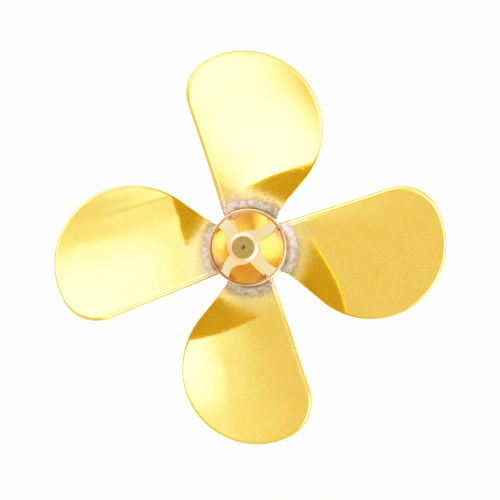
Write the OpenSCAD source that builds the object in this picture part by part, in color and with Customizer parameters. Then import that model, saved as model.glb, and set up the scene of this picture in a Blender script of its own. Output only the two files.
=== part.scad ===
// Four-blade marine propeller for a small boat: a turned brass hub with a
// tapped blind bore, and four pressed brass blades set in slots and soldered.
// Z runs along the shaft axis, from the flat hub face (z = 0) to the nose.

/* [Propeller] */
// Diameter of the circle that the blade tips sweep
propeller_d = 60; // [57:0.5:64]
// Distance a blade's screw surface advances in one turn
pitch = 50; // [44:1:54]

/* [Hub] */
// Diameter of the straight barrel that holds the blades
hub_d = 11.7; // [11.4:0.1:12.2]
// Length of the barrel, from the flat face to the nose
barrel_h = 11.2; // [11:0.1:13]
// Height of the nose curve above the barrel, if it ran on to a point
nose_h = 9.8; // [8:0.2:11]
// Diameter of the flat at the end of the nose
nose_end_d = 3.4; // [2.8:0.1:3.8]
// Fullness of the nose curve, where 1 is a cone
nose_power = 2.2; // [1.4:0.1:2.8]
// Width and depth of the fine groove between barrel and nose
groove = 0.3; // [0.2:0.05:0.4]

/* [Shaft thread] */
// Core diameter of the M4 thread
thread_core_d = 3.3; // [3.2:0.05:3.4]
// Depth of the tapped hole, from the flat face
thread_depth = 12; // [9:0.5:13]
// Diameter of the countersink at the mouth of the hole
thread_mouth_d = 4.4; // [4.2:0.1:5]

/* [Blades] */
// Thickness of the blade sheet
blade_t = 1; // [0.8:0.05:1.1]
// Radius of the broad round part of a blade's outline
lobe_r = 11.7; // [11:0.1:12]
// Radius of the tighter corner on the raised side
corner_r = 6; // [5.4:0.1:6.6]
// Rise of a blade towards the nose for each millimetre outwards
rake = 0.1; // [0:0.01:0.14]
// Hollow of the face that looks aft, per square millimetre
cup = 0.015; // [0:0.001:0.02]
// Turn of each blade from its even quarter, in degrees
blade_index = [0, 4.5, 1, 0]; // [-5:0.5:5]

/* [Solder] */
// Width of the solder fillet along a blade
fillet_out = 1.5; // [1:0.1:1.8]
// Width of the solder fillet along the hub
fillet_up = 0.9; // [0.5:0.1:1.1]

/* [Hidden] */
$fn = 96;

brass = "#dcae3e";
brass_hub = "#e0b56a";
solder_grey = "#a49f92";

hub_r = hub_d / 2;
mid_drop = 0.15;       // how far the blades sit below the middle of the barrel
blade_mid_z = barrel_h / 2 - mid_drop;
edge_break = 0.3;      // chamfer at the hub's flat face
nose_round = 0.7;      // radius between the nose curve and its flat end
round_share = 0.8;     // part of that radius that the shoulder takes up
shoulder_steps = 6;
nose_steps = 24;
pip_d = 0.6;           // mark that the lathe centre left in the nose
drill_angle = 118;
margin = 1;            // how far a cutter runs past the face it opens

// Outline of a blade, looking forward: y runs outwards along the blade and x
// clockwise. Two tangent circles make the outer end, and two straight edges
// run from them down to the hub.
tip_y = propeller_d / 2;
lobe_x = -0.7;
lobe_y = tip_y - lobe_r;
corner_turn = 117;     // direction in which the two circles touch
corner_x = lobe_x + (lobe_r - corner_r) * cos(corner_turn);
corner_y = lobe_y + (lobe_r - corner_r) * sin(corner_turn);
raised_root = [-3.45, 4.65];
low_root = [3.6, 5.25];
root_y = 4.5;          // how deep the root tab reaches into the hub
root_end_y = 8.5;      // the stations up to here are also the slot's
root_steps = 8;
tip_steps = 24;
chord_steps = 14;
edge_round = 0.3;      // width over which a blade's edge is rounded off
edge_share = 0.45;     // part of the sheet's thickness that is left at the edge
widest_inset = 0.2;    // largest part of a chord that a rounded edge takes up
tip_trim = 0.02;       // keeps the last station from closing to a point

// Solder fillets
fillet_steps = 22;     // rings along a fillet
fillet_cuts = 5;       // cuts in the hollow face of a fillet
end_taper = 0.6;       // size of a fillet at its two ends
taper_rate = 4;        // how fast it grows to full size from them
fore_start = 12;       // degrees by which a forward fillet stops short of the raised edge

function bearing(v) = atan2(v[1], v[0]);

// Point where the tangent from p touches a circle, on the side given by hand
function tangent_point(p, centre, r, hand) =
    let (d = centre - p, reach = sqrt(d * d - r * r), turn = bearing(d) + hand * asin(r / norm(d)))
    p + reach * [cos(turn), sin(turn)];

raised_tangent = tangent_point(raised_root, [corner_x, corner_y], corner_r, 1);
low_tangent = tangent_point(low_root, [lobe_x, lobe_y], lobe_r, -1);
circles_touch_y = lobe_y + lobe_r * sin(corner_turn);

function on_line(a, b, y) = a[0] + (b[0] - a[0]) * (y - a[1]) / (b[1] - a[1]);
function half_chord(r, dy) = sqrt(max(0, r * r - dy * dy));

// Blade edges at a distance y from the axis: raised side, then low side
function raised_edge(y) =
    y < raised_tangent[1] ? on_line(raised_root, raised_tangent, y)
    : y < circles_touch_y ? corner_x - half_chord(corner_r, y - corner_y)
    : lobe_x - half_chord(lobe_r, y - lobe_y);
function low_edge(y) =
    y < low_tangent[1] ? on_line(low_root, low_tangent, y) : lobe_x + half_chord(lobe_r, y - lobe_y);

// Mid-surface of a blade: a true screw, raked aft and hollowed a little
function blade_z(x, y) =
    blade_mid_z - pitch * atan2(x, y) / 360 + cup * x * x + rake * (y - hub_r);
function slope_x(x, y) = -pitch / (2 * PI) * y / (x * x + y * y) + 2 * cup * x;
function slope_y(x, y) = pitch / (2 * PI) * x / (x * x + y * y) + rake;
function blade_normal(x, y) =
    let (n = [-slope_x(x, y), -slope_y(x, y), 1]) n / norm(n);
function blade_point(x, y, off) = [x, y, blade_z(x, y)] + off * blade_normal(x, y);

// Stations along a blade, closer together towards the tip
root_stations = [for (i = [0:root_steps - 1]) root_y + (root_end_y - root_y) * i / root_steps];
blade_reach = tip_y - tip_trim - root_end_y;
tip_stations = [for (i = [0:tip_steps]) root_end_y + blade_reach * sin(90 * i / tip_steps)];

// Places across a chord from 0 to 1, with one close to each edge
function chord_share(i, width) =
    let (inset = min(widest_inset, edge_round / width))
    i == 0 ? 0 : i == chord_steps ? 1 : inset + (1 - 2 * inset) * (i - 1) / (chord_steps - 2);
function skin(stations, side) = [
    for (y = stations)
    let (a = raised_edge(y), b = low_edge(y), last = y > tip_y - edge_round)
    for (i = [0:chord_steps])
    let (thin = (i == 0 || i == chord_steps || last) ? edge_share : 1)
    blade_point(a + (b - a) * chord_share(i, b - a), y, side * thin * blade_t / 2)
];

// Closed solid between the two skins over the stations given
module sheet(stations) {
    rows = len(stations);
    cols = chord_steps + 1;
    count = rows * cols;
    // Corners of one cell on the upper skin, and the same cell reversed below
    upper = [
        for (j = [0:rows - 2]) for (i = [0:cols - 2])
        let (a = j * cols + i) each [[a, a + cols, a + cols + 1], [a, a + cols + 1, a + 1]]
    ];
    lower = [for (f = upper) [f[2] + count, f[1] + count, f[0] + count]];
    // Rim of the sheet, walked once round so that the wall closes it
    rim = [
        for (i = [0:cols - 1]) i,
        for (j = [1:rows - 1]) j * cols + cols - 1,
        for (i = [cols - 2:-1:0]) (rows - 1) * cols + i,
        for (j = [rows - 2:-1:1]) j * cols
    ];
    walls = [
        for (k = [0:len(rim) - 1])
        let (a = rim[k], b = rim[(k + 1) % len(rim)])
        each [[a, b, b + count], [a, b + count, a + count]]
    ];
    polyhedron(concat(skin(stations, 1), skin(stations, -1)), concat(upper, lower, walls), convexity = 6);
}

module at_blade(k) {
    rotate([0, 0, 90 * (k - 1) + blade_index[k - 1]]) children();
}

module blade(k) {
    color(brass) at_blade(k) sheet(concat(root_stations, tip_stations));
}

// Slot in the hub that a blade's root tab fills
module root_slot(k) {
    at_blade(k) sheet(concat(root_stations, [root_end_y]));
}

// Half-section of the nose, from its end flat out to the groove
nose_base_r = hub_r - groove;
nose_curve_r = nose_end_d / 2 + nose_round * round_share;
function nose_z(r) = barrel_h + nose_h * (1 - pow(r / nose_base_r, nose_power));
nose_curve = [
    for (i = [0:nose_steps])
    let (r = nose_curve_r + (nose_base_r - nose_curve_r) * i / nose_steps) [r, nose_z(r)]
];
// The shoulder is an arc that leaves the end flat level and meets the curve
shoulder_turn = asin(round_share);
nose_top_z = nose_z(nose_curve_r) + nose_round * (1 - cos(shoulder_turn));
shoulder = [
    for (i = [0:shoulder_steps - 1])
    let (turn = shoulder_turn * i / shoulder_steps)
    [nose_end_d / 2 + nose_round * sin(turn), nose_top_z - nose_round * (1 - cos(turn))]
];

module hub() {
    color(brass_hub) difference() {
        rotate_extrude() polygon(concat(
            [[0, 0], [hub_r - edge_break, 0], [hub_r, edge_break], [hub_r, barrel_h - groove / 2],
             [hub_r - groove / 2, barrel_h], [hub_r - groove, barrel_h - groove / 2]],
            [for (i = [nose_steps:-1:0]) nose_curve[i]],
            [for (i = [shoulder_steps - 1:-1:0]) shoulder[i]],
            [[0, nose_top_z]]
        ));
        shaft_hole();
        translate([0, 0, nose_top_z - pip_d / 2]) cylinder(h = pip_d, r1 = 0, r2 = pip_d);
        for (k = [1:4]) root_slot(k);
    }
}

module shaft_hole() {
    core_r = thread_core_d / 2;
    mouth_h = (thread_mouth_d - thread_core_d) / 2;
    translate([0, 0, -margin]) cylinder(h = thread_depth + margin, r = core_r);
    translate([0, 0, -margin]) cylinder(h = mouth_h + margin, r1 = thread_mouth_d / 2 + margin, r2 = core_r);
    translate([0, 0, thread_depth]) cylinder(h = core_r / tan(drill_angle / 2), r1 = core_r, r2 = 0);
}

// A fillet lies in the corner between a blade's skin and the barrel; side is 1
// on the face that looks aft and -1 on the face that looks forward. Places on
// it are given by bearing round the axis, radius and height above the skin.
function at_skin(turn, r, side, lift) =
    blade_point(r * sin(turn), r * cos(turn), side * (blade_t / 2 + lift));
function on_barrel(p) = let (r = norm([p[0], p[1]])) [p[0] * hub_r / r, p[1] * hub_r / r, p[2]];

// Points round one ring: the corner, the foot on the blade, then the hollow
// face back up to the barrel
function fillet_ring(turn, side, size) =
    let (reach = fillet_out * size, rise = fillet_up * size)
    concat(
        [on_barrel(at_skin(turn, hub_r, side, 0)), at_skin(turn, hub_r + reach / 2, side, 0)],
        [for (i = [0:fillet_cuts - 1])
            let (swing = 90 * i / fillet_cuts)
            at_skin(turn, hub_r + reach * (1 - sin(swing)), side, rise * (1 - cos(swing)))],
        [on_barrel(at_skin(turn, hub_r, side, rise))]
    );

module fillet(side) {
    first = atan2(raised_edge(root_y), root_y) + (side > 0 ? 0 : fore_start);
    last = atan2(low_edge(low_root[1]), low_root[1]);
    corners = fillet_cuts + 3;
    rings = [
        for (j = [0:fillet_steps])
        let (t = j / fillet_steps, size = min(1, end_taper + taper_rate * min(t, 1 - t)))
        fillet_ring(first + (last - first) * t, side, size)
    ];
    tube = [
        for (j = [0:fillet_steps - 1]) for (i = [0:corners - 1])
        let (a = j * corners + i, b = j * corners + (i + 1) % corners)
        each [[a, b + corners, b], [a, a + corners, b + corners]]
    ];
    far = fillet_steps * corners;
    caps = [
        for (i = [1:corners - 2])
        each [[0, i, i + 1], [far, far + i + 1, far + i]]
    ];
    faces = concat(tube, caps);
    polyhedron(
        [for (ring = rings) each ring],
        side > 0 ? faces : [for (f = faces) [f[2], f[1], f[0]]],
        convexity = 6
    );
}

module solder(k, side) {
    color(solder_grey) at_blade(k) fillet(side);
}

hub();
blade(1);  // blade_1
blade(2);  // blade_2
blade(3);  // blade_3
blade(4);  // blade_4
solder(1, 1);  // solder_aft_1
solder(2, 1);  // solder_aft_2
solder(3, 1);  // solder_aft_3
solder(4, 1);  // solder_aft_4
solder(1, -1);  // solder_fore_1
solder(2, -1);  // solder_fore_2
solder(3, -1);  // solder_fore_3
solder(4, -1);  // solder_fore_4
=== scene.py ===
"""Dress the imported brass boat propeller: lathe-turned hub, pressed blades, solder and a light tent."""

import logging
import math
from dataclasses import dataclass, field
from enum import Enum
from typing import Callable, Iterable, Sequence

import bmesh
import bpy
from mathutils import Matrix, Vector
from mathutils.kdtree import KDTree


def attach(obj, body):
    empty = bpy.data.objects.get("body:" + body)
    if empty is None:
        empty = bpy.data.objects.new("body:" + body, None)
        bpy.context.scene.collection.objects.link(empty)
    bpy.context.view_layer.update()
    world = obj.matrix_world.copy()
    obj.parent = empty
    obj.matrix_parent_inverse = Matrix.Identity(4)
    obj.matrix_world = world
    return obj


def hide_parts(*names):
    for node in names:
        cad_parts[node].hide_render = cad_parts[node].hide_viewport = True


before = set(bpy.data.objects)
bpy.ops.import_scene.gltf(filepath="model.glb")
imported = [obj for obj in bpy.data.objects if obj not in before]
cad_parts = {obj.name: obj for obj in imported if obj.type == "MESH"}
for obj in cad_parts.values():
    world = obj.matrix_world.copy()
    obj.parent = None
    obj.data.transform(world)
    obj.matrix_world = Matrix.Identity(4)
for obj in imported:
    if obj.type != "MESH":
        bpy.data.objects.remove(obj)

log = logging.getLogger("propeller")

MM = 0.001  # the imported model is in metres
ROOT_BODY = "root"
BLADES = (1, 2, 3, 4)

Point = tuple[float, float]
Colour = tuple[float, float, float, float]


class Slot(Enum):
    """The record's material slots."""

    HUB = "hub_brass"
    BLADE = "blade_brass"
    SOLDER = "solder"


class Side(Enum):
    """The two faces of a blade, by the way each looks."""

    AFT = "aft"
    FORE = "fore"


# ---------------------------------------------------------------- shader tools


@dataclass(frozen=True)
class Grain:
    """Settings of a fractal noise."""

    scale: float
    detail: float
    rough: float


class Wire:
    """A shader socket that takes part in Python arithmetic."""

    def __init__(self, tree: "ShaderTree", socket: bpy.types.NodeSocket) -> None:
        """Keep the socket and the tree that it belongs to."""
        self.tree = tree
        self.socket = socket

    def __add__(self, other: "Wire | float") -> "Wire":
        """Sum of two values."""
        return self.tree.math("ADD", self, other)

    __radd__ = __add__

    def __mul__(self, other: "Wire | float") -> "Wire":
        """Product of two values."""
        return self.tree.math("MULTIPLY", self, other)

    __rmul__ = __mul__

    def __sub__(self, other: "Wire | float") -> "Wire":
        """This value less another."""
        return self.tree.math("SUBTRACT", self, other)

    def __rsub__(self, other: "Wire | float") -> "Wire":
        """Another value less this one."""
        return self.tree.math("SUBTRACT", other, self)


class ShaderTree:
    """Adds nodes to one node tree and links them."""

    def __init__(self, tree: bpy.types.NodeTree) -> None:
        """Empty the tree, ready for new nodes."""
        self.tree = tree
        tree.nodes.clear()

    def make(self, kind: str, settings: dict | None = None, inputs: dict | None = None) -> bpy.types.Node:
        """Add a node, set it up and fill its sockets.

        Args:
            kind: The node's type name.
            settings: Attributes that are set before the sockets.
            inputs: Values or wires by socket name or number.

        Returns:
            The new node.
        """
        node = self.tree.nodes.new(kind)
        for name, value in (settings or {}).items():
            setattr(node, name, value)
        for key, value in (inputs or {}).items():
            if isinstance(value, Wire):
                self.tree.links.new(value.socket, node.inputs[key])
            else:
                node.inputs[key].default_value = value
        return node

    def wire(self, node: bpy.types.Node, output: str | int = 0) -> Wire:
        """Wrap one output of a node."""
        return Wire(self, node.outputs[output])

    def math(self, operation: str, a: Wire | float, b: Wire | float = 0.0) -> Wire:
        """Join two values by a Math node."""
        return self.wire(self.make("ShaderNodeMath", {"operation": operation}, {0: a, 1: b}))

    def coordinates(self, output: str = "Object") -> Wire:
        """Texture coordinates: a piece's own, in metres, or another kind by name."""
        return self.wire(self.make("ShaderNodeTexCoord"), output)

    def vector(self, operation: str, a: Wire, b: Wire | Sequence[float]) -> Wire:
        """Join two vectors by a Vector Math node."""
        node = self.make("ShaderNodeVectorMath", {"operation": operation}, {0: a, 1: b})
        return self.wire(node, "Value" if operation in ("DOT_PRODUCT", "LENGTH") else "Vector")

    def ramp(self, value: Wire, low: float, high: float, to_low: float = 0.0, to_high: float = 1.0) -> Wire:
        """Ease a value smoothly from one range to another."""
        inputs = {"Value": value, "From Min": low, "From Max": high, "To Min": to_low, "To Max": to_high}
        return self.wire(self.make("ShaderNodeMapRange", {"interpolation_type": "SMOOTHSTEP"}, inputs))

    def layers(self, ground: Wire | Colour, *coats: tuple[Wire, Colour]) -> Wire:
        """Lay colours over a ground in turn, each by its own mask.

        Args:
            ground: The colour underneath.
            coats: Mask and colour of each coat, the lowest first.

        Returns:
            The colour on top.
        """
        for mask, colour in coats:
            settings = {"data_type": "RGBA", "blend_type": "MIX"}
            ground = self.wire(self.make("ShaderNodeMix", settings, {0: mask, 6: ground, 7: colour}), 2)
        return ground

    def noise(self, at: Wire, grain: Grain, output: str | int = 0) -> Wire:
        """Fractal noise from 0 to 1."""
        inputs = {"Vector": at, "Scale": grain.scale, "Detail": grain.detail, "Roughness": grain.rough}
        return self.wire(self.make("ShaderNodeTexNoise", None, inputs), output)

    def stretched(self, at: Wire, turn: float, scale: Sequence[float], shift: Sequence[float]) -> Wire:
        """Coordinates turned about Z, then stretched and shifted, for grain that runs one way.

        Args:
            at: The coordinates.
            turn: Angle in radians.
            scale: Stretch along each axis.
            shift: Shift along each axis.

        Returns:
            The new coordinates.
        """
        settings = {"vector_type": "POINT"}
        turned = self.make("ShaderNodeMapping", settings, {"Vector": at, "Rotation": (0.0, 0.0, turn)})
        inputs = {"Vector": self.wire(turned), "Scale": tuple(scale), "Location": tuple(shift)}
        return self.wire(self.make("ShaderNodeMapping", settings, inputs))

    def bump(self, height: Wire, distance: float, strength: float) -> Wire:
        """Turn a height into a normal."""
        inputs = {"Height": height, "Distance": distance, "Strength": strength}
        return self.wire(self.make("ShaderNodeBump", None, inputs))

    def surface(self, inputs: dict) -> None:
        """End the tree in a Principled shader with these inputs."""
        shader = self.make("ShaderNodeBsdfPrincipled", None, inputs)
        self.make("ShaderNodeOutputMaterial", None, {"Surface": self.wire(shader)})


def new_material(name: str) -> tuple[bpy.types.Material, ShaderTree]:
    """Make a material with an empty node tree.

    Args:
        name: The material's name.

    Returns:
        The material and its nodes.
    """
    material = bpy.data.materials.new(name)
    material.use_nodes = True
    return material, ShaderTree(material.node_tree)


# ------------------------------------------------------------------- finishes


@dataclass(frozen=True)
class Place:
    """Where a point lies on its piece, in millimetres."""

    tree: ShaderTree

    @property
    def at(self) -> Wire:
        """The piece's own coordinates."""
        return self.tree.vector("MULTIPLY", self.tree.coordinates(), (1 / MM, 1 / MM, 1 / MM))

    @property
    def radius(self) -> Wire:
        """Distance from the shaft axis."""
        across = self.tree.vector("MULTIPLY", self.at, (1.0, 1.0, 0.0))
        return self.tree.vector("LENGTH", across, (0.0, 0.0, 0.0))

    @property
    def height(self) -> Wire:
        """Height above the hub's flat face."""
        return self.tree.vector("DOT_PRODUCT", self.at, (0.0, 0.0, 1.0))


@dataclass(frozen=True)
class Scratches:
    """Short hairline marks that cross in several directions. Lengths are in millimetres."""

    turns: tuple[float, ...] = (0.3, 0.95, 1.7, 2.3, 2.85)
    length: float = 1.6
    width: float = 0.10
    depth_scale: float = 0.2
    bend: float = 0.8
    wander: Grain = Grain(0.25, 1.0, 0.5)
    line: Grain = Grain(1.0, 1.0, 0.5)
    apart: Point = (3.7, 1.9)  # shift from one direction's pattern to the next
    density: float = 0.68
    edge: float = 0.06

    def build(self, tree: ShaderTree, at: Wire) -> Wire:
        """Mask of the marks, 1 on a mark.

        Args:
            tree: The material's nodes.
            at: Coordinates in millimetres.

        Returns:
            The mask.
        """
        wander = tree.noise(at, self.wander, "Color")
        bent = tree.vector("ADD", at, tree.vector("MULTIPLY", wander, (self.bend,) * 3))
        stretch = (1 / self.length, 1 / self.width, self.depth_scale)
        marks = None
        for number, turn in enumerate(self.turns):
            shift = (self.apart[0] * number, self.apart[1] * number, 0.0)
            streaks = tree.noise(tree.stretched(bent, turn, stretch, shift), self.line)
            line = tree.ramp(streaks, self.density, self.density + self.edge)
            marks = line if marks is None else tree.math("MAXIMUM", marks, line)
        return marks


@dataclass(frozen=True)
class BladeBrass:
    """Buffed sheet brass with fine scratches, heat tint and flux stain near the root.

    Radii and wanderings are in millimetres. A "share" is how strongly a coat covers.
    """

    colour: Colour = (0.73, 0.575, 0.21, 1.0)
    deep: Colour = (0.71, 0.535, 0.18, 1.0)
    tint: Colour = (0.74, 0.60, 0.34, 1.0)
    stain: Colour = (0.48, 0.43, 0.36, 1.0)
    speck: Colour = (0.34, 0.25, 0.14, 1.0)
    mark: Colour = (0.40, 0.31, 0.11, 1.0)
    cloud: Grain = Grain(0.25, 4.0, 0.6)
    mottle: Grain = Grain(1.1, 5.0, 0.7)
    grain: Grain = Grain(6.0, 3.0, 0.7)
    deep_share: float = 0.6
    grain_share: float = 0.25
    marks_share: float = 0.38
    tint_share: float = 0.8
    stain_share: float = 0.85
    speck_share: float = 0.5
    tint_ends: float = 11.0
    tint_full: float = 7.5
    tint_wander: float = 6.0
    stain_ends: float = 8.3
    stain_full: float = 7.0
    stain_wander: float = 2.4
    specks_end: float = 13.0
    specks_full: float = 7.3
    speck_gain: float = 0.12  # how much more of the grain turns to specks near the root
    roughness: float = 0.07
    relief: float = 0.010 * MM
    relief_strength: float = 0.16

    def build(self) -> bpy.types.Material:
        """Return the finished material.

        Returns:
            The material.
        """
        material, tree = new_material("blade_brass")
        place = Place(tree)
        at, radius = place.at, place.radius
        cloud, mottle, grain = (tree.noise(at, kind) for kind in (self.cloud, self.mottle, self.grain))
        marks = Scratches().build(tree, at)
        tint = tree.ramp(radius + (mottle - 0.5) * self.tint_wander, self.tint_ends, self.tint_full)
        stain = tree.ramp(radius + (mottle - 0.5) * self.stain_wander, self.stain_ends, self.stain_full)
        near_root = tree.ramp(radius, self.specks_end, self.specks_full)
        specks = tree.ramp(grain + near_root * self.speck_gain, 0.60, 0.70) * near_root
        wear = tree.ramp(grain, 0.45, 0.75) * self.grain_share + marks * self.marks_share
        colour = tree.layers(
            self.colour,
            (tree.ramp(cloud, 0.35, 0.7) * self.deep_share, self.deep),
            (wear, self.mark),
            (tint * self.tint_share, self.tint),
            (stain * self.stain_share, self.stain),
            (specks * self.speck_share, self.speck),
        )
        rough = self.roughness + mottle * 0.03 + marks * 0.10 + tint * 0.14 + stain * 0.25
        normal = tree.bump(marks * -0.4 + mottle * 0.5 + grain * 0.25, self.relief, self.relief_strength)
        tree.surface({"Base Color": colour, "Metallic": 1.0, "Roughness": rough, "Normal": normal})
        return material


@dataclass(frozen=True)
class HubBrass:
    """Turned brass, buffed bright, with a dull end flat and tool marks. Lengths are in millimetres."""

    colour: Colour = (0.76, 0.565, 0.37, 1.0)
    pink: Colour = (0.78, 0.54, 0.38, 1.0)
    dull: Colour = (0.325, 0.32, 0.15, 1.0)
    seam: Colour = (0.62, 0.52, 0.38, 1.0)
    # near-black colour of the centre mark's small dimple
    pip_black: Colour = (0.10, 0.09, 0.04, 1.0)
    cloud: Grain = Grain(0.5, 4.0, 0.6)
    grain: Grain = Grain(3.5, 5.0, 0.7)
    tool_mark: Grain = Grain(1.0, 2.0, 0.5)
    tool_stretch: tuple[float, float, float] = (0.15, 0.15, 30.0)
    pink_share: float = 0.6
    pip_black_share: float = 0.8
    seam_share: float = 0.8
    nose_z: float = 16.0  # the end flat and its edge lie above this height
    flat_r: float = 1.66
    flat_edge: float = 0.04
    pip_r: float = 0.3
    pip_edge: float = 0.03
    groove_z: float = 11.2
    groove_ends: float = 0.40
    groove_full: float = 0.15
    roughness: float = 0.06
    relief: float = 0.010 * MM
    relief_strength: float = 0.4

    def build(self) -> bpy.types.Material:
        """Return the finished material.

        Returns:
            The material.
        """
        material, tree = new_material("hub_brass")
        place = Place(tree)
        at, radius, height = place.at, place.radius, place.height
        cloud, grain = tree.noise(at, self.cloud), tree.noise(at, self.grain)
        at_nose = tree.ramp(height, self.nose_z, self.nose_z + 0.1)
        flat = at_nose * tree.ramp(radius, self.flat_r + self.flat_edge, self.flat_r)
        pip = tree.ramp(radius, self.pip_r + self.pip_edge, self.pip_r - self.pip_edge) * flat
        off_groove = tree.math("ABSOLUTE", height - self.groove_z)
        groove = tree.ramp(off_groove, self.groove_ends, self.groove_full)
        colour = tree.layers(
            self.colour,
            (tree.ramp(cloud, 0.35, 0.7) * self.pink_share, self.pink),
            (flat * tree.ramp(grain, 0.3, 0.7, 1.0, 0.78), self.dull),
            # the centre mark's small dimple is coloured near black
            (pip * self.pip_black_share, self.pip_black),
            (groove * self.seam_share, self.seam),
        )
        lathe = tree.noise(tree.vector("MULTIPLY", at, self.tool_stretch), self.tool_mark)
        worn = tree.ramp(grain, 0.35, 0.8) * 0.05
        rough = self.roughness + worn + flat * 0.05 + pip * 0.3 + groove * 0.25
        relief = lathe * 0.20 + grain * 0.25 + flat * grain * 0.8
        normal = tree.bump(relief, self.relief, self.relief_strength)
        tree.surface({"Base Color": colour, "Metallic": 1.0, "Roughness": rough, "Normal": normal})
        return material


@dataclass(frozen=True)
class SolderGrey:
    """Dull grey solder, finely pitted, with a dark line of flux against the hub."""

    light: Colour = (0.56, 0.54, 0.53, 1.0)
    dark: Colour = (0.40, 0.37, 0.29, 1.0)
    pit: Colour = (0.16, 0.14, 0.10, 1.0)
    cloud: Grain = Grain(1.1, 4.0, 0.6)
    grit: Grain = Grain(5.0, 5.0, 0.7)
    pitting: Grain = Grain(3.0, 3.0, 0.7)
    pit_share: float = 0.6
    flux_share: float = 0.35
    flux_ends: float = 6.35  # mm from the shaft axis
    flux_full: float = 6.05
    flux_wander: float = 0.5
    metallic: float = 0.75
    roughness: float = 0.40
    relief: float = 0.03 * MM
    relief_strength: float = 0.5

    def build(self) -> bpy.types.Material:
        """Return the finished material.

        Returns:
            The material.
        """
        material, tree = new_material("solder")
        place = Place(tree)
        at, radius = place.at, place.radius
        cloud, grit = tree.noise(at, self.cloud), tree.noise(at, self.grit)
        pits = tree.ramp(tree.noise(at, self.pitting), 0.60, 0.70)
        flux = tree.ramp(radius + (cloud - 0.5) * self.flux_wander, self.flux_ends, self.flux_full)
        darkest = tree.math("MAXIMUM", pits * self.pit_share, flux * self.flux_share)
        ground = tree.layers(self.light, (tree.ramp(cloud, 0.38, 0.66), self.dark), (darkest, self.pit))
        rough = self.roughness + grit * 0.2 + pits * 0.15
        normal = tree.bump(grit * 0.6 - pits * 0.8, self.relief, self.relief_strength)
        tree.surface({"Base Color": ground, "Metallic": self.metallic, "Roughness": rough, "Normal": normal})
        return material


# ----------------------------------------------------------- modelling helpers


def select_only(*objects: bpy.types.Object) -> None:
    """Leave object mode's selection with just these, the last of them active.

    Args:
        objects: What to select, the active object last.
    """
    bpy.ops.object.select_all(action="DESELECT")
    for item in objects:
        item.select_set(True)
    bpy.context.view_layer.objects.active = objects[-1]


def pick_vertices(piece: bpy.types.Object, indices: Iterable[int]) -> None:
    """Select just these vertices of a piece that is in edit mode.

    Args:
        piece: The object in edit mode.
        indices: The vertices' numbers.
    """
    mesh = bmesh.from_edit_mesh(piece.data)
    mesh.verts.ensure_lookup_table()
    wanted = set(indices)
    for vertex in mesh.verts:
        vertex.select_set(vertex.index in wanted)
    mesh.select_flush_mode()
    bmesh.update_edit_mesh(piece.data)


def weight(piece: bpy.types.Object, name: str, value_at: Callable[[Vector], float]) -> None:
    """Paint a vertex group from each vertex's place.

    Args:
        piece: The object to paint.
        name: Name of the vertex group.
        value_at: Gives the weight, from 0 to 1, at a point.
    """
    group = piece.vertex_groups.new(name=name)
    for vertex in piece.data.vertices:
        group.add([vertex.index], value_at(vertex.co), "REPLACE")


def apply_modifier(piece: bpy.types.Object, kind: str, **settings: object) -> None:
    """Add a modifier to a piece, set it up and apply it.

    Args:
        piece: The object to change.
        kind: The modifier's type name.
        settings: The modifier's attributes.
    """
    select_only(piece)
    modifier = piece.modifiers.new(kind.title(), kind)
    for name, value in settings.items():
        setattr(modifier, name, value)
    bpy.ops.object.modifier_apply(modifier=modifier.name)


def tidy_mesh(piece: bpy.types.Object, merge: float, sharp_degrees: float) -> None:
    """Merge close points, recalculate normals and shade smooth up to an angle.

    Args:
        piece: The object to finish.
        merge: Points closer than this become one.
        sharp_degrees: Edges sharper than this stay sharp.
    """
    select_only(piece)
    bpy.ops.object.mode_set(mode="EDIT")
    bpy.ops.mesh.select_all(action="SELECT")
    bpy.ops.mesh.remove_doubles(threshold=merge)
    bpy.ops.mesh.normals_make_consistent(inside=False)
    bpy.ops.object.mode_set(mode="OBJECT")
    bpy.ops.object.shade_smooth_by_angle(angle=math.radians(sharp_degrees))


def hand_over(piece: bpy.types.Object, node: str, material: bpy.types.Material) -> None:
    """Dress a finished piece and tell the frame what it stands for.

    Args:
        piece: The finished object.
        node: The CAD node that it replaces.
        material: What it is made of.
    """
    piece.data.materials.clear()
    piece.data.materials.append(material)
    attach(piece, ROOT_BODY)
    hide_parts(node)
    log.info("%s: %d faces", piece.name, len(piece.data.polygons))


# ----------------------------------------------------------------- the blades


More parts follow.
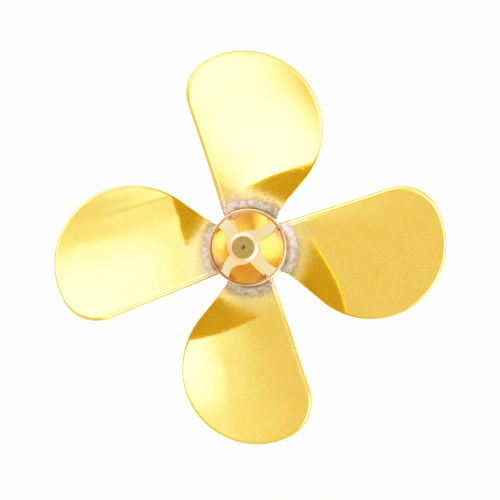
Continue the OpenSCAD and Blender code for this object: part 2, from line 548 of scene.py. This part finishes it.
@dataclass(frozen=True)
class BladeOutline:
    """Outline of a flat blade blank, y outwards and x clockwise, in metres."""

    tip: float = 30.0 * MM
    lobe_r: float = 11.7 * MM
    lobe_x: float = -0.7 * MM
    corner_r: float = 6.0 * MM
    corner_turn: float = math.radians(117.0)
    raised_root: Point = (-3.45 * MM, 4.65 * MM)
    low_root: Point = (3.6 * MM, 5.25 * MM)
    root_y: float = 4.5 * MM
    tip_trim: float = 0.004 * MM  # keeps the last row from closing to a point

    @property
    def lobe(self) -> Vector:
        """Centre of the broad round end."""
        return Vector((self.lobe_x, self.tip - self.lobe_r))

    @property
    def corner(self) -> Vector:
        """Centre of the tighter corner, which touches the round end from inside."""
        reach = self.lobe_r - self.corner_r
        return self.lobe + reach * Vector((math.cos(self.corner_turn), math.sin(self.corner_turn)))

    @staticmethod
    def tangent(start: Point, centre: Vector, radius: float, hand: int) -> Vector:
        """Point where the line from start touches a circle.

        Args:
            start: Where the line begins.
            centre: Centre of the circle.
            radius: Radius of the circle.
            hand: 1 for the touch on the left of the centre, -1 on the right.

        Returns:
            The point of contact.
        """
        to_centre = centre - Vector(start)
        turn = math.atan2(to_centre.y, to_centre.x) + hand * math.asin(radius / to_centre.length)
        reach = math.sqrt(to_centre.length_squared - radius * radius)
        return Vector(start) + reach * Vector((math.cos(turn), math.sin(turn)))

    @staticmethod
    def along(start: Point, end: Vector, y: float) -> float:
        """The x of a straight edge at height y."""
        return start[0] + (end.x - start[0]) * (y - start[1]) / (end.y - start[1])

    @staticmethod
    def half_chord(radius: float, rise: float) -> float:
        """Half the width of a circle at a distance from its centre."""
        return math.sqrt(max(0.0, radius * radius - rise * rise))

    def raised_edge(self, y: float) -> float:
        """The x of the edge that is lifted towards the nose.

        Args:
            y: Distance outwards from the axis.

        Returns:
            The edge's x.
        """
        touch = self.tangent(self.raised_root, self.corner, self.corner_r, 1)
        if y < touch.y:
            return self.along(self.raised_root, touch, y)
        if y < self.lobe.y + self.lobe_r * math.sin(self.corner_turn):
            return self.corner.x - self.half_chord(self.corner_r, y - self.corner.y)
        return self.lobe.x - self.half_chord(self.lobe_r, y - self.lobe.y)

    def low_edge(self, y: float) -> float:
        """The x of the edge that drops away from the nose.

        Args:
            y: Distance outwards from the axis.

        Returns:
            The edge's x.
        """
        touch = self.tangent(self.low_root, self.lobe, self.lobe_r, -1)
        if y < touch.y:
            return self.along(self.low_root, touch, y)
        return self.lobe.x + self.half_chord(self.lobe_r, y - self.lobe.y)

    def stations(self, count: int) -> list[float]:
        """Heights of the rows of a blank, closer together towards the tip."""
        reach = self.tip - self.tip_trim - self.root_y
        return [self.root_y + reach * math.sin(math.pi / 2 * i / count) for i in range(count + 1)]

    def rim(self, count: int) -> list[Vector]:
        """Points close together all round the outline.

        Args:
            count: How many rows to take.

        Returns:
            The points, in no order.
        """
        heights = self.stations(count)
        points = [Vector((self.raised_edge(y), y, 0.0)) for y in heights]
        points += [Vector((self.low_edge(y), y, 0.0)) for y in heights]
        for y in (heights[0], heights[-1]):
            left, right = self.raised_edge(y), self.low_edge(y)
            points += [Vector((left + (right - left) * i / count, y, 0.0)) for i in range(count + 1)]
        return points


def ease(share: float) -> float:
    """A share from 0 to 1, eased at both ends."""
    share = min(1.0, max(0.0, share))
    return share * share * (3.0 - 2.0 * share)


@dataclass(frozen=True)
class Ripple:
    """A gentle unevenness that pressing and buffing leave in a blade."""

    depth: float
    length: float
    turn: float
    phase: float

    def at(self, place: Vector) -> float:
        """Height of the ripple at a point."""
        along = place.x * math.cos(self.turn) + place.y * math.sin(self.turn)
        return self.depth * math.sin(2 * math.pi * along / self.length + self.phase)


@dataclass(frozen=True)
class Crease:
    """A faint straight bend mark that fades out at its ends."""

    start: Point
    end: Point
    width: float
    depth: float
    full_half: float = 0.4  # share of its length, each way from the middle, at full depth
    fade: float = 0.15

    def at(self, place: Vector) -> float:
        """Height of the crease at a point.

        Args:
            place: A point of the flat blank.

        Returns:
            The height.
        """
        start, run = Vector(self.start), Vector(self.end) - Vector(self.start)
        from_start = place.xy - start
        along = from_start.dot(run) / run.length_squared
        aside = from_start.cross(run) / run.length / self.width
        past_end = max(0.0, abs(along - 0.5) - self.full_half) / self.fade
        return self.depth * math.exp(-aside * aside - past_end * past_end)


@dataclass(frozen=True)
class Droop:
    """A low edge that hangs below the true screw, most of all near the root."""

    rate: float
    full_y: float = 15.0 * MM
    gone_y: float = 25.0 * MM

    def at(self, place: Vector) -> float:
        """Height of the droop at a point."""
        share = ease((self.gone_y - place.y) / (self.gone_y - self.full_y))
        return -self.rate * share * max(0.0, place.x) ** 2


@dataclass
class Blades:
    """The four pressed blades, each cut flat, pressed to a screw and rounded at its rim."""

    outline: BladeOutline = field(default_factory=BladeOutline)
    hub_r: float = 5.85 * MM
    mid_z: float = 5.45 * MM
    pitch: float = 50.0 * MM
    rake: float = 0.1
    cup: float = 0.015 / MM
    thickness: float = 1.0 * MM
    rounding: float = 0.32 * MM
    merge: float = 0.002 * MM
    sharp_degrees: float = 60.0
    rows: int = 110
    columns: int = 44
    index_degrees: tuple[float, ...] = (0.0, 4.5, 1.0, 0.0)
    uneven_from: float = 7.0 * MM
    uneven_over: float = 6.0 * MM
    marks: tuple[tuple[Ripple | Crease | Droop, ...], ...] = (
        (
            Ripple(0.012 * MM, 15 * MM, 0.4, 0.5),
            Crease((-5.6 * MM, 27 * MM), (3.0 * MM, 14 * MM), 0.5 * MM, 0.010 * MM),
            Droop(0.006 / MM),
        ),
        (
            Ripple(0.012 * MM, 17 * MM, 1.2, 0.0),
            Crease((9.2 * MM, 11 * MM), (6.3 * MM, 22 * MM), 0.8 * MM, -0.085 * MM),
            Crease((4.7 * MM, 11 * MM), (2.4 * MM, 27 * MM), 1.2 * MM, -0.070 * MM),
        ),
        (
            Ripple(0.012 * MM, 19 * MM, 0.2, 2.0),
            Droop(0.006 / MM),
            Crease((4.1 * MM, 17 * MM), (3.2 * MM, 29 * MM), 1.0 * MM, -0.080 * MM),
        ),
        (
            Ripple(0.008 * MM, 16 * MM, 0.9, 1.0),
            Droop(0.009 / MM),
        ),
    )

    def blank(self) -> bpy.types.Object:
        """Cut the flat blank: a grid whose rows are drawn out to the outline.

        Returns:
            The blank.
        """
        bpy.ops.object.select_all(action="DESELECT")
        bpy.ops.mesh.primitive_grid_add(x_subdivisions=self.columns, y_subdivisions=self.rows, size=1.0)
        piece = bpy.context.active_object
        piece.name = "blade_blank"
        places = [vertex.co.copy() for vertex in piece.data.vertices]
        by_row: dict[int, list[int]] = {}
        by_column: dict[int, list[int]] = {}
        for index, place in enumerate(places):
            by_row.setdefault(round((place.y + 0.5) * self.rows), []).append(index)
            by_column.setdefault(round((place.x + 0.5) * self.columns), []).append(index)
        bpy.ops.object.mode_set(mode="EDIT")
        for number, members in by_column.items():
            even = number / self.columns
            bunched = (1 - math.cos(math.pi * even)) / 2
            pick_vertices(piece, members)
            bpy.ops.transform.translate(value=(bunched - even, 0.0, 0.0))
        heights = self.outline.stations(self.rows)
        for number, members in by_row.items():
            y = heights[number]
            left, right = self.outline.raised_edge(y), self.outline.low_edge(y)
            pick_vertices(piece, members)
            bpy.ops.transform.resize(value=(right - left, 1.0, 1.0), center_override=(0.0, 0.0, 0.0))
            old_y = number / self.rows - 0.5
            bpy.ops.transform.translate(value=((left + right) / 2, y - old_y, 0.0))
        bpy.ops.object.mode_set(mode="OBJECT")
        return piece

    def screw_height(self, x: float, y: float) -> float:
        """Height of the pressed mid-surface above the hub's flat face."""
        lift = self.cup * x * x + self.rake * (y - self.hub_r)
        return self.mid_z - self.pitch * math.atan2(x, y) / (2 * math.pi) + lift

    def press(self, piece: bpy.types.Object, number: int) -> None:
        """Press a blank to its screw shape, give it thickness and round its rim.

        The two skins come close together at the rim, but they stay unjoined.

        Args:
            piece: A copy of the flat blank.
            number: The blade's number, from 1.
        """
        marks = self.marks[number - 1]

        def height(point: Vector) -> float:
            """Height of the pressed sheet, unevenness included."""
            share = ease((point.y - self.uneven_from) / self.uneven_over)
            return self.screw_height(point.x, point.y) + share * sum(mark.at(point) for mark in marks)

        rim = self.outline.rim(2 * self.rows)
        nearest = KDTree(len(rim))
        for index, place in enumerate(rim):
            nearest.insert(place, index)
        nearest.balance()

        def fullness(point: Vector) -> float:
            """Share of the sheet's thickness at a point, by its distance from the rim."""
            inward = min(1.0, nearest.find(point)[2] / self.rounding)
            return math.sqrt(1.0 - (1.0 - inward) ** 2)

        heights = [height(vertex.co) for vertex in piece.data.vertices]
        lowest, span = min(heights), max(heights) - min(heights)
        weight(piece, "fullness", fullness)
        weight(piece, "press", lambda point: (height(point) - lowest) / span)
        apply_modifier(piece, "DISPLACE", direction="Z", mid_level=0.0, strength=span, vertex_group="press")
        apply_modifier(
            piece, "SOLIDIFY", thickness=self.thickness, offset=0.0, use_rim=False, vertex_group="fullness"
        )
        piece.vertex_groups.clear()
        turn = 90 * (number - 1) + self.index_degrees[number - 1]
        piece.location = (0.0, 0.0, lowest)
        piece.rotation_euler = (0.0, 0.0, math.radians(turn))
        select_only(piece)
        bpy.ops.object.transform_apply(location=True, rotation=True, scale=True)
        tidy_mesh(piece, self.merge, self.sharp_degrees)

    def build(self, material: bpy.types.Material) -> None:
        """Make all four blades from copies of one blank.

        Args:
            material: What the blades are made of.
        """
        blank = self.blank()
        for number in BLADES:
            select_only(blank)
            bpy.ops.object.duplicate()
            piece = bpy.context.active_object
            piece.name = f"pressed_blade_{number}"
            self.press(piece, number)
            hand_over(piece, f"blade_{number}", material)
        bpy.data.objects.remove(blank)


# -------------------------------------------------------------------- the hub


@dataclass
class Hub:
    """The turned hub: barrel, groove, nose, end flat and tapped shaft hole."""

    radius: float = 5.85 * MM
    barrel: float = 11.2 * MM
    groove: float = 0.3 * MM
    nose_height: float = 9.8 * MM
    nose_power: float = 2.2
    end_r: float = 1.7 * MM
    end_round: float = 0.7 * MM
    round_share: float = 0.8  # part of that radius that the shoulder takes up
    round_steps: int = 12
    nose_steps: int = 48
    nose_lip: float = 0.06 * MM
    barrel_round: float = 0.12 * MM
    barrel_round_steps: int = 5
    groove_floor: float = 0.55  # depths below the barrel's top, as shares of the groove
    barrel_edge: float = 0.15
    edge_break: float = 0.3 * MM
    pip_r: float = 0.3 * MM
    pip_rim: float = 1.3
    on_axis: float = 0.02 * MM  # radius of a ring that is closed to a point afterwards
    thread_root_r: float = 2.02 * MM
    thread_crest_r: float = 1.65 * MM
    thread_pitch: float = 0.7 * MM
    thread_depth: float = 12.0 * MM
    thread_start: float = 0.55 * MM
    thread_spare: float = 1.2 * MM
    tooth_base: float = 0.62 * MM
    tooth_crest: float = 0.2  # as a share of the base
    tooth_sink: float = 0.01 * MM
    drill_point: float = 0.95 * MM
    mouth_r: float = 2.2 * MM
    sides: int = 192
    thread_sides: int = 48
    merge: float = 0.001 * MM
    body_sharp_degrees: float = 32.0
    thread_sharp_degrees: float = 30.0

    @property
    def nose_r(self) -> float:
        """Radius of the foot of the nose, inside the groove."""
        return self.radius - self.groove

    def nose_z(self, r: float) -> float:
        """Height of the nose curve at a radius."""
        return self.barrel + self.nose_height * (1 - (r / self.nose_r) ** self.nose_power)

    def nose_end(self) -> list[Point]:
        """Radius and height of the centre mark, the end flat and its rounded edge.

        Returns:
            Points from the axis outwards.
        """
        curve_r = self.end_r + self.end_round * self.round_share
        swing = math.asin((curve_r - self.end_r) / self.end_round)
        top = self.nose_z(curve_r) + self.end_round * (1 - math.cos(swing))
        points = [(self.on_axis, top - self.pip_r), (self.pip_r, top), (self.pip_r * self.pip_rim, top)]
        points += [(self.end_r * share, top) for share in (0.5, 0.8, 0.96)]
        for i in range(self.round_steps + 1):
            turn = swing * i / self.round_steps
            r = self.end_r + self.end_round * math.sin(turn)
            points.append((r, top - self.end_round * (1 - math.cos(turn))))
        return points

    def outside(self) -> list[Point]:
        """Radius and height of the turned outside, from the nose down to the flat face.

        Returns:
            Points in that order.
        """
        points = self.nose_end()
        curve_r, base = self.end_r + self.end_round * self.round_share, self.nose_r
        for i in range(1, self.nose_steps + 1):
            r = curve_r + (base - curve_r) * i / self.nose_steps
            points.append((r, self.nose_z(r)))
        floor = self.barrel - self.groove * self.groove_floor
        points += [(base, floor + self.nose_lip), (base, floor)]
        points += self.barrel_corner()
        points += [(self.radius, self.barrel * share) for share in (0.9, 0.6, 0.3, 0.05)]
        points += [(self.radius, self.edge_break + 0.02 * MM), (self.radius - self.edge_break, 0.0)]
        return points

    def barrel_corner(self) -> list[Point]:
        """Radius and height of the rounded corner at the top of the barrel.

        Returns:
            Points from the top downwards.
        """
        r = self.radius - self.barrel_round
        z = self.barrel - self.groove * self.barrel_edge - self.barrel_round
        quarter, steps = math.pi / 2, self.barrel_round_steps
        turns = [quarter - quarter * i / steps for i in range(steps + 1)]
        return [(r + self.barrel_round * math.cos(t), z + self.barrel_round * math.sin(t)) for t in turns]

    def inside(self) -> list[Point]:
        """Radius and height of the shaft hole, from its mouth up to the drill's point.

        Returns:
            Points in that order.
        """
        mouth_top = self.mouth_r - self.thread_root_r
        drill_top = self.thread_depth + self.drill_point
        points = [(self.mouth_r, 0.0), (self.thread_root_r, mouth_top)]
        points += [(self.thread_root_r, self.thread_depth * share) for share in (0.25, 0.5, 0.75, 1.0)]
        points += [(self.thread_crest_r, self.thread_depth), (self.on_axis, drill_top)]
        return points

    def turn_body(self) -> bpy.types.Object:
        """Turn the hub by drawing one ring of edges along its profile.

        Returns:
            The turned body.
        """
        profile = self.outside() + self.inside()
        first_r, first_z = profile[0]
        bpy.ops.object.select_all(action="DESELECT")
        bpy.ops.mesh.primitive_circle_add(vertices=self.sides, radius=first_r, location=(0.0, 0.0, first_z))
        piece = bpy.context.active_object
        piece.name = "turned_hub"
        bpy.ops.object.transform_apply(location=True, rotation=True, scale=True)
        bpy.ops.object.mode_set(mode="EDIT")
        bpy.ops.mesh.select_all(action="SELECT")
        for (last_r, last_z), (r, z) in zip(profile, profile[1:]):
            bpy.ops.mesh.extrude_edges_move(TRANSFORM_OT_translate={"value": (0.0, 0.0, z - last_z)})
            bpy.ops.transform.resize(value=(r / last_r, r / last_r, 1.0), center_override=(0.0, 0.0, z))
        bpy.ops.mesh.merge(type="CENTER")
        pick_vertices(piece, range(self.sides))
        bpy.ops.mesh.merge(type="CENTER")
        bpy.ops.object.mode_set(mode="OBJECT")
        tidy_mesh(piece, self.merge, self.body_sharp_degrees)
        return piece

    def cut_thread(self) -> bpy.types.Object:
        """Raise the female thread inside the hole: one tooth swept along its helix.

        Returns:
            The thread.
        """
        depth = self.thread_root_r - self.thread_crest_r
        middle = (self.thread_root_r + self.thread_crest_r) / 2 + self.tooth_sink
        bpy.ops.object.select_all(action="DESELECT")
        bpy.ops.mesh.primitive_plane_add(size=1.0, rotation=(math.pi / 2, 0.0, 0.0))
        piece = bpy.context.active_object
        piece.name = "thread_tooth"
        bpy.ops.object.transform_apply(location=True, rotation=True, scale=True)
        bpy.ops.object.mode_set(mode="EDIT")
        bpy.ops.mesh.select_all(action="SELECT")
        bpy.ops.mesh.delete(type="ONLY_FACE")
        bpy.ops.mesh.select_all(action="SELECT")
        bpy.ops.transform.resize(value=(depth, 1.0, self.tooth_base), center_override=(0.0, 0.0, 0.0))
        crest = [v.index for v in bmesh.from_edit_mesh(piece.data).verts if v.co.x < 0]
        pick_vertices(piece, crest)
        bpy.ops.transform.resize(value=(1.0, 1.0, self.tooth_crest), center_override=(0.0, 0.0, 0.0))
        bpy.ops.mesh.select_all(action="SELECT")
        bpy.ops.transform.translate(value=(middle, 0.0, self.thread_start))
        bpy.ops.object.mode_set(mode="OBJECT")
        turns = int((self.thread_depth - self.thread_spare) / self.thread_pitch)
        apply_modifier(
            piece, "SCREW", angle=2 * math.pi, screw_offset=self.thread_pitch, iterations=turns,
            steps=self.thread_sides, render_steps=self.thread_sides, axis="Z",
        )
        bpy.ops.object.mode_set(mode="EDIT")
        bpy.ops.mesh.select_all(action="SELECT")
        bpy.ops.mesh.fill_holes(sides=6)
        bpy.ops.object.mode_set(mode="OBJECT")
        tidy_mesh(piece, self.merge, self.thread_sharp_degrees)
        return piece

    def build(self, material: bpy.types.Material) -> None:
        """Turn the hub, thread it and dress it.

        Args:
            material: What the hub is made of.
        """
        body = self.turn_body()
        thread = self.cut_thread()
        select_only(thread, body)
        bpy.ops.object.join()
        hand_over(body, "hub", material)


# ----------------------------------------------------------------- the solder


@dataclass
class Solder:
    """The solder fillets: copies of the frame's plain fillets, subdivided and made uneven.

    Fillets aft_3, fore_3 and fore_4 come out with their faces inwards.
    """

    levels: int = 3
    lump: float = 0.05 * MM
    lump_size: float = 1.3 * MM
    lump_octaves: int = 2
    lump_middle: float = 0.45
    smoothing: float = 0.5
    smoothing_rounds: int = 4
    first_merge: float = 0.001 * MM
    last_merge: float = 0.0005 * MM
    sharp_degrees: float = 180.0

    def build(self, material: bpy.types.Material) -> None:
        """Make a fillet on both faces of every blade.

        Args:
            material: What the fillets are made of.
        """
        texture = bpy.data.textures.new("solder_lumps", "CLOUDS")
        texture.noise_scale = self.lump_size
        texture.noise_depth = self.lump_octaves
        for side in Side:
            for number in BLADES:
                node = f"solder_{side.value}_{number}"
                select_only(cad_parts[node])
                bpy.ops.object.duplicate()
                piece = bpy.context.active_object
                piece.name = f"fillet_{side.value}_{number}"
                tidy_mesh(piece, self.first_merge, self.sharp_degrees)
                apply_modifier(
                    piece, "SUBSURF", subdivision_type="SIMPLE", levels=self.levels, render_levels=self.levels
                )
                apply_modifier(piece, "SMOOTH", factor=self.smoothing, iterations=self.smoothing_rounds)
                apply_modifier(
                    piece, "DISPLACE", texture=texture, texture_coords="LOCAL",
                    mid_level=self.lump_middle, strength=self.lump,
                )
                tidy_mesh(piece, self.last_merge, self.sharp_degrees)
                hand_over(piece, node, material)


# ------------------------------------------------------------------ the studio


@dataclass(frozen=True)
class HotSpot:
    """A bright patch of the light tent. Angles are in degrees."""

    tilt: float  # from straight up
    bearing: float  # round from +X
    inner: float  # full strength up to this angle from the middle of the patch
    outer: float  # dark from this angle on
    strength: float

    def direction(self) -> tuple[float, float, float]:
        """Unit vector towards the patch.

        Returns:
            The vector.
        """
        tilt, bearing = math.radians(self.tilt), math.radians(self.bearing)
        level = math.sin(tilt)
        return (level * math.cos(bearing), level * math.sin(bearing), math.cos(tilt))


@dataclass(frozen=True)
class FilmCurve:
    """The camera's response: firm contrast below, a soft shoulder above."""

    gain: float = 2.31
    contrast: float = 1.8
    white: float = 3.0
    stops: int = 12
    bunching: float = 1.6  # above 1, the points lie closer together in the darks
    combined: int = 3  # the curve that acts on red, green and blue alike

    def response(self, level: float) -> float:
        """Share of full white that a level of light records as."""
        return 1.0 - math.exp(-self.gain * level**self.contrast)

    def load(self, view: bpy.types.ColorManagedViewSettings) -> None:
        """Set the response on the view.

        Args:
            view: The scene's colour settings.
        """
        view.view_transform = "Standard"
        view.use_curve_mapping = True
        mapping = view.curve_mapping
        mapping.white_level = (self.white, self.white, self.white)
        points = mapping.curves[self.combined].points
        points[1].location = (1.0, 1.0)
        for i in range(1, self.stops):
            place = (i / self.stops) ** self.bunching
            points.new(place, self.response(place * self.white))
        mapping.update()


@dataclass
class Studio:
    """A white light tent over a white table, seen from almost straight above.

    The table gives off a little light of its own, and the camera alone sees it overexposed.
    """

    camera_tilt: float = math.radians(4.4)
    camera_distance: float = 0.6
    frame_width: float = 76.42 * MM
    sensor_width: float = 36.0  # millimetres, as Blender takes it
    sight_ends: float = 10.0
    aim: Vector = field(default_factory=lambda: Vector((-0.072 * MM, -0.378 * MM, 5.45 * MM)))
    table_size: float = 3.0
    table_gap: float = 0.02 * MM
    card: Colour = (0.12, 0.12, 0.12, 1.0)
    glow: Colour = (1.08, 1.06, 0.86, 1.0)
    paper: Colour = (1.0, 1.0, 1.0, 1.0)
    paper_glow: float = 1.6
    overexposure: float = 0.75
    tent: Colour = (1.31, 1.065, 0.965, 1.0)
    lamp: Colour = (1.15, 1.03, 1.17, 1.0)
    spots: tuple[HotSpot, ...] = (
        HotSpot(57.0, -30.0, 0.0, 53.0, 2.3),
        HotSpot(47.0, 115.0, 0.0, 30.0, 1.3),
        HotSpot(70.0, 104.0, 0.0, 75.0, 0.82),
    )

    def camera(self) -> None:
        """Stand the camera over the nose with a long lens."""
        data = bpy.data.cameras.new("camera")
        data.sensor_width = self.sensor_width
        data.lens = self.sensor_width * self.camera_distance / self.frame_width
        data.clip_end = self.sight_ends
        camera = bpy.data.objects.new("camera", data)
        towards = Vector((math.sin(self.camera_tilt), 0.0, math.cos(self.camera_tilt)))
        camera.location = self.aim + towards * self.camera_distance
        camera.rotation_euler = (0.0, self.camera_tilt, 0.0)
        bpy.context.scene.collection.objects.link(camera)
        bpy.context.scene.camera = camera

    def table(self) -> None:
        """Lay the white table that the hub stands on."""
        bpy.ops.object.select_all(action="DESELECT")
        bpy.ops.mesh.primitive_plane_add(size=self.table_size, location=(0.0, 0.0, -self.table_gap))
        floor = bpy.context.active_object
        floor.name = "table"
        bpy.ops.object.transform_apply(location=True, rotation=True, scale=True)
        material, tree = new_material("table_white")
        lit = tree.make("ShaderNodeBsdfDiffuse", None, {"Color": self.card})
        glow = tree.make("ShaderNodeEmission", None, {"Color": self.glow, "Strength": 1.0})
        table = tree.make("ShaderNodeAddShader", None, {0: tree.wire(lit), 1: tree.wire(glow)})
        paper = tree.make("ShaderNodeEmission", None, {"Color": self.paper, "Strength": self.paper_glow})
        to_camera = tree.wire(tree.make("ShaderNodeLightPath"), "Is Camera Ray")
        shaders = {0: to_camera * self.overexposure, 1: tree.wire(table), 2: tree.wire(paper)}
        both = tree.make("ShaderNodeMixShader", None, shaders)
        tree.make("ShaderNodeOutputMaterial", None, {"Surface": tree.wire(both)})
        floor.data.materials.append(material)

    def light(self) -> None:
        """Light the tent: an even white dome with soft bright patches."""
        world = bpy.data.worlds.new("light_tent")
        world.use_nodes = True
        tree = ShaderTree(world.node_tree)
        direction = tree.coordinates("Generated")
        level = 0.0
        for spot in self.spots:
            facing = tree.vector("DOT_PRODUCT", direction, spot.direction())
            outer, inner = math.cos(math.radians(spot.outer)), math.cos(math.radians(spot.inner))
            level = tree.ramp(facing, outer, inner) * spot.strength + level
        lamps = tree.make("ShaderNodeBackground", None, {"Color": self.lamp, "Strength": level})
        dome = tree.make("ShaderNodeBackground", None, {"Color": self.tent, "Strength": 1.0})
        both = tree.make("ShaderNodeAddShader", None, {0: tree.wire(lamps), 1: tree.wire(dome)})
        tree.make("ShaderNodeOutputWorld", None, {"Surface": tree.wire(both)})
        bpy.context.scene.world = world

    def build(self) -> None:
        """Set up camera, table, light and the camera's response."""
        self.camera()
        self.table()
        self.light()
        FilmCurve().load(bpy.context.scene.view_settings)


def main() -> None:
    """Build the propeller and its studio."""
    logging.basicConfig(level=logging.INFO, format="%(name)s: %(message)s")
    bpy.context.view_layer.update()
    Studio().build()
    Hub().build(HubBrass().build())
    Blades().build(BladeBrass().build())
    Solder().build(SolderGrey().build())


if __name__ == "__main__":
    main()
